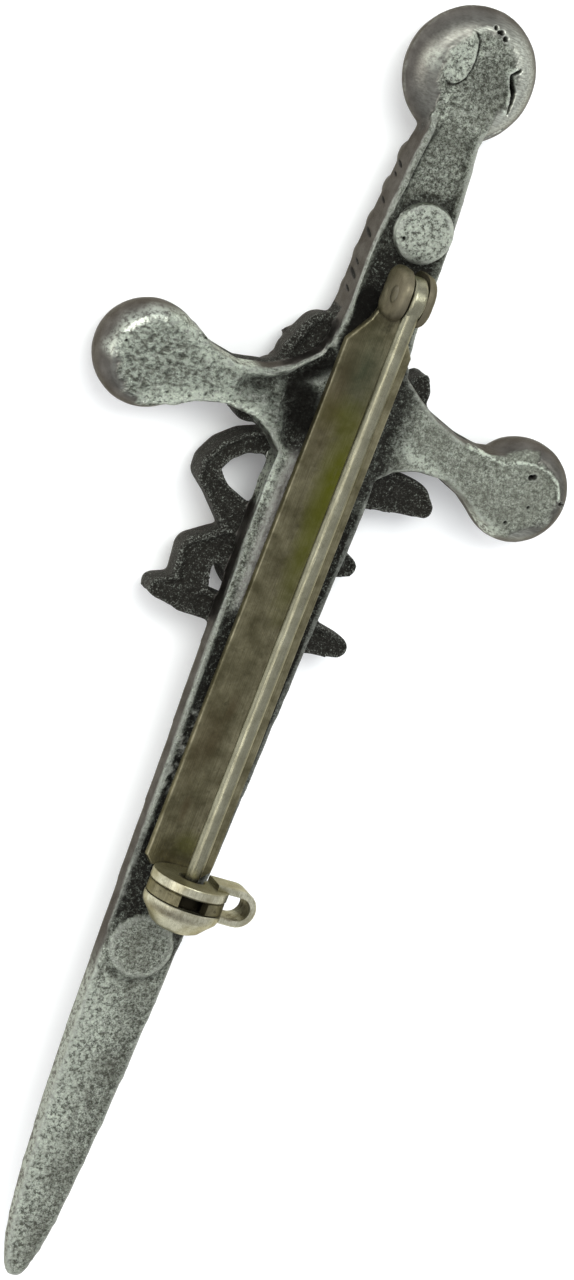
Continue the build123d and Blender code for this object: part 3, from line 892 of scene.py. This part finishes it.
def ear(side):
    """A hinge ear: an upright rounded plate."""
    bm = bmesh.new()
    inner, outer = side * ear_inner_x, side * ear_outer_x
    foot = 1.15
    corners = [
        (rivet_y - ear_half_length + foot, bar_bottom_z + foot, foot),
        (rivet_y + ear_half_length - foot, bar_bottom_z + foot, foot),
        (rivet_y - ear_half_length + ear_corner, ear_top_z - ear_corner, ear_corner),
        (rivet_y + ear_half_length - ear_corner, ear_top_z - ear_corner, ear_corner),
    ]
    soft = 0.5
    points = []
    for y, z, r in corners:
        for k in range(40):
            a = 2 * pi * k / 40
            points.append((inner, y + r * cos(a), z + r * sin(a)))
            for turn in range(7):
                b = pi / 2 * turn / 6
                in_from_rim = soft * (1 - cos(b))
                points.append((
                    outer - side * soft * (1 - sin(b)),
                    y + (r - in_from_rim) * cos(a),
                    z + (r - in_from_rim) * sin(a),
                ))
    hull(bm, [Vector(p) for p in points])
    return bm


def catch_ring():
    """The fixed open ring, a sector with its gap facing up."""
    bm = bmesh.new()
    middle = (ring_radius + ring_bore_radius) / 2
    start = asin(ring_gap_high_x / middle)
    end = asin(ring_gap_low_x / middle)
    corner = 0.08
    section = [
        (ring_bore_radius, ring_low_y),
        (ring_radius - corner, ring_low_y),
        (ring_radius, ring_low_y + corner),
        (ring_radius, ring_high_y - corner),
        (ring_radius - corner, ring_high_y),
        (ring_bore_radius, ring_high_y),
    ]
    profile = [(r * sin(start), y, catch_z + r * cos(start)) for r, y in section]
    revolve(bm, profile, (0, 0, catch_z), (0, 1, 0), 56, 2 * pi - (start - end))
    return bm


def make_bar(material):
    foot = bmesh.new()
    add_block(foot, (-tongue_half_width + 0.02, ring_low_y + 0.02, bar_bottom_z + 0.05),
              (tongue_half_width - 0.02, ring_high_y - 0.02, catch_z - ring_bore_radius - 0.35))
    made = combine("bar_with_ears", [bar_plate(), ear(-1), ear(1), catch_ring(), foot])
    smooth_by_angle(made, 32)
    heights, _, _ = read_mesh(made.data)
    # The rim attribute marks a painted highlight along the bar's top edge
    rim_z = bar_top_z - 0.3 * rim_round
    rim_highlight = 1 - np.clip(np.abs(heights[:, 2] - rim_z) / (0.3 * rim_round), 0, 1)
    add_attribute(made.data, "rim", rim_highlight)
    return finish_piece(made, "root", material, "pin_bar")


def make_rivet(material):
    bm = bmesh.new()
    head = [
        (ear_outer_x + rivet_head_height * sin(a), rivet_head_radius * cos(a))
        for a in (pi / 2 * k / 6 for k in range(7))
    ]
    under_x = ear_outer_x - 0.03
    half = [(0, rivet_radius), (under_x, rivet_radius), (under_x, rivet_head_radius), *head]
    profile = [(-x, r) for x, r in reversed(half)] + half[1:]
    points = [(x, rivet_y, rivet_z + r) for x, r in profile]
    revolve(bm, points, (0, rivet_y, rivet_z), (1, 0, 0), 32)
    closed(bm)
    made = new_object("rivet", bm)
    smooth_by_angle(made, 40)
    return finish_piece(made, "root", material, "hinge_rivet")


# Stem, a row for each round of the wire from the hinge to its point
Wire = namedtuple("Wire", "y radius")
wire_rows = [
    Wire(29.3, 0.575),
    Wire(24.4, 0.595),
    Wire(10.0, 0.595),
    Wire(-14.5, 0.595),
    Wire(-16.0, 0.58),
    Wire(-17.4, 0.42),
    Wire(-18.6, 0.22),
    Wire(-19.3, 0.08),
]


def make_stem(material):
    wire = bmesh.new()
    turns = [2 * pi * k / 32 for k in range(32)]
    loft(wire, [
        [(row.radius * cos(a), row.y, stem_z + row.radius * sin(a)) for a in turns] for row in wire_rows
    ])
    eye = bmesh.new()
    soft = 0.3
    half_width = eye_half_width - 0.02
    outer = [
        (side * (half_width - soft * (1 - sin(a))), eye_worn_radius - soft * (1 - cos(a)))
        for side, turns in ((-1, range(5, -1, -1)), (1, range(6)))
        for a in (pi / 2 * k / 5 for k in turns)
    ]
    inner = [(half_width, eye_hole_radius), (-half_width, eye_hole_radius)]
    points = [(x, rivet_y, rivet_z + r) for x, r in outer + inner]
    revolve(eye, [*points, points[0]], (0, rivet_y, rivet_z), (1, 0, 0), 40)
    made = combine("stem", [wire, eye])
    smooth_by_angle(made, 40)
    return finish_piece(made, "pin", material, "pin_stem")


def catch_body():
    """Drum, collars and tapered cap about the stem's line."""
    bm = bmesh.new()
    high_low = ring_high_y + collar_clearance
    low_high = ring_low_y - collar_clearance
    low_low = low_high - cap_collar
    soft = 0.12
    section = [
        (collar_high_y, bore_radius),
        (collar_high_y, collar_radius - soft),
        (collar_high_y - 0.3 * soft, collar_radius - 0.3 * soft),
        (collar_high_y - soft, collar_radius),
        (high_low + soft, collar_radius),
        (high_low, collar_radius - soft),
        (high_low, drum_radius),
        (low_high, drum_radius),
        (low_high, collar_radius - 0.6 * soft),
        (low_high - 0.6 * soft, collar_radius),
        (low_low + 0.35, collar_radius - 0.02),
        (low_low, collar_radius - 0.15),
        (low_low - 0.5, collar_radius - 0.62),
        (cap_end_y + 0.42, 1.9),
        (cap_end_y + 0.16, 1.42),
        (cap_end_y + 0.04, 0.85),
        (cap_end_y, 0),
        (bore_end_y, 0),
        (bore_end_y, bore_radius),
        (collar_high_y, bore_radius),
    ]
    points = [(0, y, catch_z + r) for y, r in section]
    revolve(bm, points, (0, 0, catch_z), (0, 1, 0), 72)
    return bm


def stadium(half, start_x, z, steps=14):
    """Outline of the thumb loop at a height: two straight arms and a round bend."""
    end_x = loop_reach_x - loop_outer
    bend = [(-pi / 2 + pi * k / steps) for k in range(steps + 1)]
    points = [(start_x, loop_y + half, z), (start_x, loop_y - half, z)]
    points += [(end_x + half * cos(a), loop_y + half * sin(a), z) for a in bend]
    return [Vector(p) for p in points]


def thumb_loop():
    """A strip bent back on itself: its outer skin less the gap inside it."""
    soft = 0.1
    root_x = loop_start_x - loop_outer + loop_inner
    skin, gap = [], []
    for side in (-1, 1):
        skin += stadium(loop_outer - soft, root_x, catch_z + side * loop_half_height)
        skin += stadium(loop_outer, root_x, catch_z + side * (loop_half_height - soft))
        gap += stadium(loop_inner, loop_start_x, catch_z + side * (loop_half_height + 1))
    shells = bmesh.new(), bmesh.new()
    for bm, points in zip(shells, (skin, gap)):
        hull(bm, points)
    return combine("loop", shells, "DIFFERENCE")


def make_catch(material):
    slot = bmesh.new()
    length = collar_radius + 1
    turn = Matrix.Rotation(radians(-slot_angle), 4, "Y")
    size = Matrix.Diagonal((length, collar_high_y + 1 - bore_end_y, slot_width, 1))
    middle = Matrix.Translation((length / 2, 0, 0))
    place = Matrix.Translation((0, (collar_high_y + 1 + bore_end_y) / 2, catch_z)) @ turn @ middle @ size
    bmesh.ops.create_cube(slot, size=1, matrix=place)
    bm = as_bmesh(combine("catch_cut", [catch_body(), slot], "DIFFERENCE"))
    loop = thumb_loop()
    bm.from_mesh(loop.data)
    bpy.data.objects.remove(loop)
    made = new_object("catch", bm)
    smooth_by_angle(made, 32)
    return finish_piece(made, "catch", material, "safety_catch")


# Materials

class Finish:
    """A material under construction. Each method adds a node and gives its output."""

    def __init__(self, name):
        self.material = bpy.data.materials.new(name)
        self.material.use_nodes = True
        self.tree = self.material.node_tree
        self.shader = self.tree.nodes["Principled BSDF"]
        place = self.tree.nodes.new("ShaderNodeTexCoord")
        scale = self.tree.nodes.new("ShaderNodeMapping")
        scale.inputs["Scale"].default_value = (1 / MM,) * 3
        self.tree.links.new(place.outputs["Object"], scale.inputs["Vector"])
        self.mm = scale.outputs["Vector"]

    def put(self, socket, value):
        if isinstance(value, bpy.types.NodeSocket):
            self.tree.links.new(value, socket)
        elif hasattr(value, "__len__") and socket.type == "RGBA" and len(value) == 3:
            socket.default_value = (*value, 1)
        else:
            socket.default_value = value

    def node(self, kind, output=0, **settings):
        made = self.tree.nodes.new("ShaderNode" + kind)
        for name, value in settings.items():
            if name.startswith("in_"):
                self.put(made.inputs[int(name[3:])], value)
            else:
                setattr(made, name, value)
        return made.outputs[output]

    def stretched(self, scale, turn=0.0):
        made = self.tree.nodes.new("ShaderNodeMapping")
        made.inputs["Scale"].default_value = scale
        made.inputs["Rotation"].default_value = (0, 0, turn)
        self.tree.links.new(self.mm, made.inputs["Vector"])
        return made.outputs["Vector"]

    def noise(self, scale, detail=3.0, vector=None, rough=0.55):
        made = self.tree.nodes.new("ShaderNodeTexNoise")
        made.inputs["Scale"].default_value = scale
        made.inputs["Detail"].default_value = detail
        made.inputs["Roughness"].default_value = rough
        self.tree.links.new(vector or self.mm, made.inputs["Vector"])
        return made.outputs["Fac"]

    def attribute(self, name):
        made = self.tree.nodes.new("ShaderNodeAttribute")
        made.attribute_name = name
        return made.outputs["Fac"]

    def math(self, operation, a, b=0.0, clamp=False):
        return self.node("Math", operation=operation, in_0=a, in_1=b, use_clamp=clamp)

    def times(self, a, b, clamp=False):
        return self.math("MULTIPLY", a, b, clamp)

    def most(self, a, b):
        return self.math("MAXIMUM", a, b)

    def span(self, value, low, high, to_low=0.0, to_high=1.0):
        """The value's range from low to high, as another range, clamped."""
        made = self.tree.nodes.new("ShaderNodeMapRange")
        for index, item in enumerate((value, low, high, to_low, to_high)):
            self.put(made.inputs[index], item)
        return made.outputs[0]

    def mix(self, share, a, b):
        made = self.tree.nodes.new("ShaderNodeMix")
        made.data_type = "RGBA"
        self.put(made.inputs["Factor"], share)
        self.put(made.inputs["A"], a)
        self.put(made.inputs["B"], b)
        return made.outputs["Result"]

    def layers(self, color, *rows):
        """The colour under layers, each given as its share and its tone."""
        for share, tone in rows:
            color = self.mix(share, color, tone)
        return color

    def spot(self, centre, radii, soft=0.5, wobble=None):
        """1 inside an oval about a place in millimetres, fading to 0 outside it."""
        shift = self.node("VectorMath", operation="SUBTRACT", in_0=self.mm, in_1=centre)
        scaled = self.node("VectorMath", operation="DIVIDE", in_0=shift, in_1=radii)
        length = self.node("VectorMath", output=1, operation="LENGTH", in_0=scaled)
        if wobble is not None:
            length = self.math("ADD", length, self.span(wobble, 0.3, 0.7, -0.35, 0.35))
        return self.span(length, 1 - soft, 1 + soft, 1.0, 0.0)

    def bump(self, height, distance, strength=1.0, below=None):
        made = self.tree.nodes.new("ShaderNodeBump")
        made.inputs["Strength"].default_value = strength
        made.inputs["Distance"].default_value = distance * MM
        self.tree.links.new(height, made.inputs["Height"])
        if below is not None:
            self.tree.links.new(below, made.inputs["Normal"])
        return made.outputs["Normal"]

    def finish(self, color, roughness, metallic, normal):
        for name, value in (("Base Color", color), ("Roughness", roughness),
                            ("Metallic", metallic), ("Normal", normal)):
            self.put(self.shader.inputs[name], value)
        return self.material


def pewter():
    """Antiqued pewter: satin walls, a sand-cast back with light grains, near-black patina in recesses, and
    painted shade and highlights where the casting's attributes mark them.
    """
    f = Finish("antiqued_pewter")
    sand, patina_and_shade, bright, lion_part, hollow, wide, pale, black_shade_and_pits, sheen_and_wear, coarse, calm = map(f.attribute, (
        "sand", "patina_and_shade", "bright", "lion", "hollow", "wide", "pale", "black_shade_and_pits", "sheen_and_wear", "coarse", "calm",
    ))
    broad = f.noise(0.28, 3)
    mottle = f.noise(0.9, 4, rough=0.6)
    slanted = f.noise(1.0, 4, f.stretched((1.6, 0.6, 1), radians(25)), rough=0.65)
    grain = f.noise(3.2, 5, rough=0.75)
    speck = f.noise(7.5, 3, rough=0.75)
    facets = f.noise(2.1, 3, f.stretched((1.0, 1.7, 1.0)), rough=0.6)
    brushed = f.noise(1.0, 4, f.stretched((1.1, 8, 8)))
    streaks = f.noise(1.0, 3, f.stretched((9, 9, 1.1)))
    # Bare metal: walls, the dimpled left ball and arm, the sand-cast back, and solder
    wall = f.layers(
        f.mix(f.span(mottle, 0.35, 0.65), (0.07, 0.063, 0.056), (0.112, 0.104, 0.093)),
        (f.span(speck, 0.55, 0.72, 0.0, 0.4), (0.035, 0.03, 0.026)),
    )
    dimpled = f.layers(
        f.mix(f.span(facets, 0.4, 0.56), (0.15, 0.156, 0.128), (0.61, 0.67, 0.57)),
        (f.span(speck, 0.54, 0.66, 0.0, 0.6), (0.06, 0.062, 0.05)),
    )
    light = f.layers(
        f.mix(f.span(grain, 0.4, 0.6), (0.105, 0.11, 0.088), (0.56, 0.6, 0.505)),
        (f.span(speck, 0.5, 0.62, 0.0, 0.85), (0.045, 0.047, 0.038)),
        (f.span(speck, 0.42, 0.3, 0.0, 0.8), (0.78, 0.82, 0.74)),
        (f.span(broad, 0.42, 0.66, 0.0, 0.35), (0.12, 0.12, 0.095)),
        (f.span(slanted, 0.5, 0.68, 0.0, 0.5), (0.1, 0.1, 0.078)),
        (f.times(coarse, 0.7), dimpled),
        (f.times(calm, 0.28), (0.29, 0.305, 0.25)),
    )
    soldered = f.mix(f.span(slanted, 0.4, 0.65), (0.4, 0.385, 0.36), (0.2, 0.185, 0.17))
    # Patina in the recesses and the casting's painted shadows, broken by light flecks, and metal rubbed light
    # on the crests
    low = f.span(hollow, 0.08, 0.9)
    deep = f.span(wide, 0.1, 0.8)
    dark_patina_and_shade = f.most(patina_and_shade, f.most(f.times(low, 0.65), f.times(deep, 0.85)))
    broken = f.times(dark_patina_and_shade, f.span(grain, 0.35, 0.62, 1.15, 0.9), clamp=True)
    fleck = f.times(f.span(speck, 0.46, 0.36), f.span(grain, 0.46, 0.6, 0.05, 0.8))
    crest = f.times(f.span(hollow, -0.4, -0.95, 0.0, 0.65), f.span(patina_and_shade, 0.6, 1.0, 1.0, 0.5))
    crest = f.times(crest, f.span(grain, 0.58, 0.45, 0.25, 1.0))
    crest = f.times(crest, f.most(f.math("SUBTRACT", 1.0, lion_part), f.span(speck, 0.5, 0.4)))
    color = f.layers(
        f.mix(sand, wall, light),
        # Painted highlights on the balls' shoulders with the front's rubbed relief, then paler rubbed metal
        # with painted highlights on the first boss and the left ball
        (f.times(sheen_and_wear, f.span(brushed, 0.38, 0.62, 0.45, 1.0)), (0.62, 0.64, 0.55)),
        (f.times(pale, f.span(grain, 0.42, 0.53, 0.05, 1.0)), (0.74, 0.8, 0.68)),
        (f.times(bright, 0.8), soldered),
        (broken, (0.014, 0.013, 0.0105)),
        (f.times(fleck, broken), (0.38, 0.42, 0.36)),
        (crest, (0.5, 0.52, 0.46)),
        # Painted black shade: the ears' shadow, the shade beside the bar and the notches, with cracks and
        # blowholes
        (f.times(black_shade_and_pits, f.span(grain, 0.3, 0.6, 1.1, 0.9), clamp=True), (0.006, 0.0055, 0.0045)),
    )
    rough = f.math("ADD", f.span(grain, 0.3, 0.7, 0.3, 0.44), f.times(broken, 0.25))
    metallic = f.span(broken, 0.0, 1.0, 1.0, 0.6)
    f.shader.inputs["Specular Tint"].default_value = (0.52, 0.5, 0.46, 1)
    grit = f.math("ADD", grain, f.times(speck, 0.55))
    grit = f.math("ADD", grit, f.times(f.times(facets, coarse), 2.2))
    height = f.times(grit, f.most(f.span(sand, 0, 1, 0.08, 1.0), f.times(lion_part, 0.8)))
    normal = f.bump(height, 0.25, 0.9, f.bump(streaks, 0.04, 0.3))
    return f.finish(color, rough, metallic, normal)


Marking = namedtuple("Marking", "color strength centre radii soft")


def nickel(name, base, dark, markings=(), smooth=0.26):
    """Tarnished nickel plate with lengthways brushing, a painted highlight along its rim, and stains and
    painted shade from its markings.
    """
    f = Finish(name)
    mottle = f.noise(0.55, 5, rough=0.65)
    fine = f.noise(5.0, 4)
    blotch = f.noise(1.3, 6, rough=0.7)
    streaks = f.noise(1.0, 4, f.stretched((16, 0.5, 16)))
    color = f.layers(
        f.mix(f.span(mottle, 0.36, 0.64), base, dark),
        (f.span(blotch, 0.56, 0.7, 0.0, 0.5), [0.45 * part for part in dark]),
        (f.span(streaks, 0.4, 0.65, 0.0, 0.45), [0.55 * part for part in dark]),
        (f.span(fine, 0.54, 0.72, 0.0, 0.35), (0.09, 0.08, 0.045)),
    )
    marked = 0.0
    for mark in markings:
        spot = f.spot(mark.centre, mark.radii, mark.soft, blotch)
        spot = f.times(spot, f.span(blotch, 0.35, 0.6, 0.6 * mark.strength, mark.strength))
        color = f.mix(spot, color, mark.color)
        marked = f.most(spot, marked)
    # A painted highlight along the bar's top edge, where its rim attribute marks it
    rim_highlight = f.times(f.attribute("rim"), f.span(mottle, 0.35, 0.6, 0.45, 0.05))
    color = f.mix(rim_highlight, color, (0.5, 0.46, 0.32))
    rough = f.span(streaks, 0.3, 0.7, smooth, smooth + 0.16)
    rough = f.math("ADD", rough, f.times(marked, 0.12))
    normal = f.bump(streaks, 0.03, 0.5)
    normal = f.bump(mottle, 0.12, 0.35, normal)
    f.shader.inputs["Specular Tint"].default_value = (0.6, 0.56, 0.44, 1)
    return f.finish(color, rough, f.span(marked, 0.0, 1.0, 1.0, 0.8) if markings else 1.0, normal)


olive = (0.085, 0.09, 0.004)
brown = (0.06, 0.043, 0.022)
# Near-black for painted shade in gaps, bores and under the hinge's eye
shade_black = (0.012, 0.01, 0.006)


def on_plate(color, strength, x, y, radius_x, radius_y, soft):
    """A stain on the bar's upper face."""
    return Marking(color, strength, (x, y, bar_top_z), (radius_x, radius_y, 2), soft)


bar_markings = [
    on_plate(olive, 1.1, 0.35, 14.8, 1.0, 4.2, 0.8),
    on_plate(olive, 0.7, 0.2, 9.0, 0.8, 4.0, 0.7),
    on_plate((0.04, 0.05, 0.03), 0.75, -0.7, 23.0, 1.6, 2.6, 0.6),
    on_plate(olive, 0.6, -1.1, 19.5, 1.2, 1.2, 0.7),
    on_plate(brown, 0.6, -1.9, 21.0, 0.8, 4.0, 0.7),
    on_plate(brown, 0.5, -1.9, -7.0, 0.7, 3.0, 0.7),
    on_plate(olive, 0.55, 0.1, -14.8, 0.9, 0.8, 0.7),
    on_plate(brown, 0.75, -1.2, -12.2, 0.3, 1.1, 0.5),
    on_plate(brown, 0.7, -0.6, -3.8, 0.4, 1.0, 0.6),
    on_plate(brown, 0.6, -1.0, -6.6, 0.5, 1.4, 0.7),
    # Painted shade inside the catch's ring and its gap
    Marking(shade_black, 1.6, (0.0, -17.8, 10.2), (2.45, 0.75, 2.45), 0.12),
    Marking((0.13, 0.114, 0.084), 0.9, (0.0, 29.5, 9.4), (2.4, 2.6, 2.0), 0.4),
    # Painted shade on the neck between the ears, under the eye
    Marking(shade_black, 0.9, (0.0, 29.0, 6.6), (0.6, 2.4, 1.2), 0.3),
]
catch_markings = [
    # Painted shade on the drum inside the ring's gap
    Marking(shade_black, 1.6, (0.0, -17.8, 10.2), (2.9, 0.75, 2.9), 0.12),
    Marking(brown, 0.95, (3.4, -17.5, 10.2), (1.4, 0.96, 3.0), 0.12),
    Marking(brown, 0.7, (-1.6, -18.9, 12.2), (1.9, 0.3, 2.0), 0.5),
    Marking(brown, 0.6, (0.5, -16.3, 12.0), (2.2, 0.2, 1.6), 0.5),
    Marking((0.12, 0.115, 0.05), 0.7, (0.0, -16.3, 10.2), (2.75, 0.3, 2.75), 0.5),
]

make_casting(pewter())
make_bar(nickel("tarnished_bar", (0.23, 0.209, 0.13), (0.1, 0.089, 0.05), bar_markings, smooth=0.34))
make_rivet(nickel("rivet_face", (0.17, 0.156, 0.12), (0.11, 0.1, 0.072)))
make_stem(nickel("drawn_wire", (0.3, 0.29, 0.21), (0.22, 0.21, 0.145), smooth=0.24))
make_catch(nickel("catch_plate", (0.62, 0.6, 0.46), (0.3, 0.275, 0.175), catch_markings))


# Floor, light and camera

def make_floor():
    bm = bmesh.new()
    bmesh.ops.create_grid(bm, x_segments=1, y_segments=1, size=1.5)
    floor = new_object("floor", bm)
    f = Finish("pale_floor")
    tone = f.noise(0.02, 2)
    color = f.mix(f.span(tone, 0.3, 0.7), (0.92, 0.92, 0.92), (0.94, 0.94, 0.94))
    f.put(f.shader.inputs["Base Color"], color)
    f.put(f.shader.inputs["Emission Color"], color)
    f.shader.inputs["Emission Strength"].default_value = 0.14
    f.shader.inputs["Roughness"].default_value = 0.9
    floor.data.materials.append(f.material)


Softbox = namedtuple("Softbox", "name place size power color")
softboxes = [
    Softbox("softbox_over", (-0.1, 0.3, 0.55), (0.4, 0.25), 2.6, (0.97, 1, 0.98)),
    Softbox("softbox_left", (-0.5, 0.0, 0.34), (0.5, 0.24), 1.1, (1, 0.98, 0.93)),
    Softbox("softbox_right", (0.36, 0.3, 0.5), (0.3, 0.3), 0.6, (0.97, 1, 0.96)),
]


def add_light(box):
    """A softbox that faces the origin."""
    light = bpy.data.lights.new(box.name, "AREA")
    light.shape = "RECTANGLE"
    light.size, light.size_y = box.size
    light.energy = box.power
    light.color = box.color
    made = bpy.data.objects.new(box.name, light)
    made.location = box.place
    made.rotation_euler = (Vector((0, 0, 0)) - Vector(box.place)).to_track_quat("-Z", "Y").to_euler()
    bpy.context.scene.collection.objects.link(made)


def make_world():
    world = bpy.data.worlds.new("studio")
    world.use_nodes = True
    bpy.context.scene.world = world
    shade = world.node_tree.nodes["Background"]
    shade.inputs["Color"].default_value = (0.94, 0.96, 1.0, 1)
    shade.inputs["Strength"].default_value = 0.8


# The camera looks at the target from a lean to the left and towards the pommel, as far off as the distance,
# and is rolled so that the pommel leans to the right
target = Vector((1.6, 2.2, 7.0)) * MM
lean_left = radians(24)
lean_up = radians(11.5)
distance = 460 * MM
roll = radians(21.27)
focal_px = 6223.4
frame_height_px = 1280
sensor = 36.0


def make_camera():
    data = bpy.data.cameras.new("camera")
    data.sensor_width = sensor
    data.lens = sensor * focal_px / frame_height_px
    data.clip_start = 0.01
    data.clip_end = 20
    made = bpy.data.objects.new("camera", data)
    back = Vector((-tan(lean_left), tan(lean_up), 1)).normalized()
    along = (Vector((0, 1, 0)) - back * back.y).normalized()
    across = along.cross(back)
    up = along * cos(roll) - across * sin(roll)
    right = up.cross(back)
    turn = Matrix((right, up, back)).transposed().to_4x4()
    made.matrix_world = Matrix.Translation(target + back * distance) @ turn
    bpy.context.scene.collection.objects.link(made)
    bpy.context.scene.camera = made


make_floor()
make_world()
for softbox in softboxes:
    add_light(softbox)
make_camera()
bpy.context.scene.view_settings.view_transform = "Standard"
